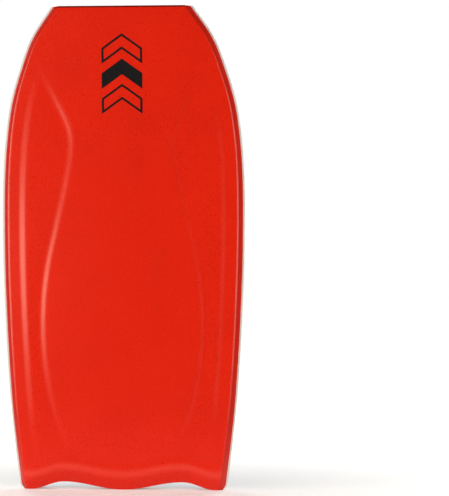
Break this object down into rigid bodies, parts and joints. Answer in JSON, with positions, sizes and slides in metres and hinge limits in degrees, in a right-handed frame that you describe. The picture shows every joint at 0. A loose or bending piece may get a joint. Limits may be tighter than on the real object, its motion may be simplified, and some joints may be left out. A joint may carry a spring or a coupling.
{
  "type": "bodyboard",
  "caption": "Bodyboard standing on its tail: contoured red foam deck, white lower rails, silver slick bottom with tail channels, wave-shaped tail, layered round a foam core with a stringer.",
  "frame": {"origin": "under the middle of the board's box, at the level of the tail's three lobes, which it stands on", "axes": "+Z along the board from the tail to the nose, the deck faces -Y, the slick bottom faces +Y, +X is the rider's right"},
  "size_m": [0.5398, 0.081, 1.067],
  "materials": {
    "deck_foam": "red closed-cell foam skin with a fine pebbled grain and a soft sheen",
    "chine_foam": "red closed-cell foam, smooth, slightly darker than the deck",
    "end_foam": "red closed-cell foam, smooth",
    "rail_foam": "white closed-cell foam, smooth and satin",
    "slick_plastic": "silver pearl plastic sheet, satin gloss with fine diagonal ripples",
    "backing_foam": "black closed-cell foam, cut edge",
    "core_foam": "white beaded polypropylene foam",
    "net_plastic": "pale polypropylene reinforcing net",
    "carbon": "carbon composite tube, satin",
    "plug_plastic": "black moulded plastic"
  },
  "bodies": {
    "root": {"deck_skin": "deck_foam", "deck_mesh": "net_plastic", "foam_core": "core_foam", "bottom_mesh": "net_plastic", "slick_backing": "backing_foam", "slick_skin": "slick_plastic", "rail_strip_left": "rail_foam", "rail_strip_right": "rail_foam", "chine_strip_left": "chine_foam", "chine_strip_right": "chine_foam", "nose_strip": "end_foam", "tail_strip": "end_foam", "stringer_tube": "carbon", "stringer_plug_tail": "plug_plastic", "stringer_plug_nose": "plug_plastic"}
  },
  "joints": []
}
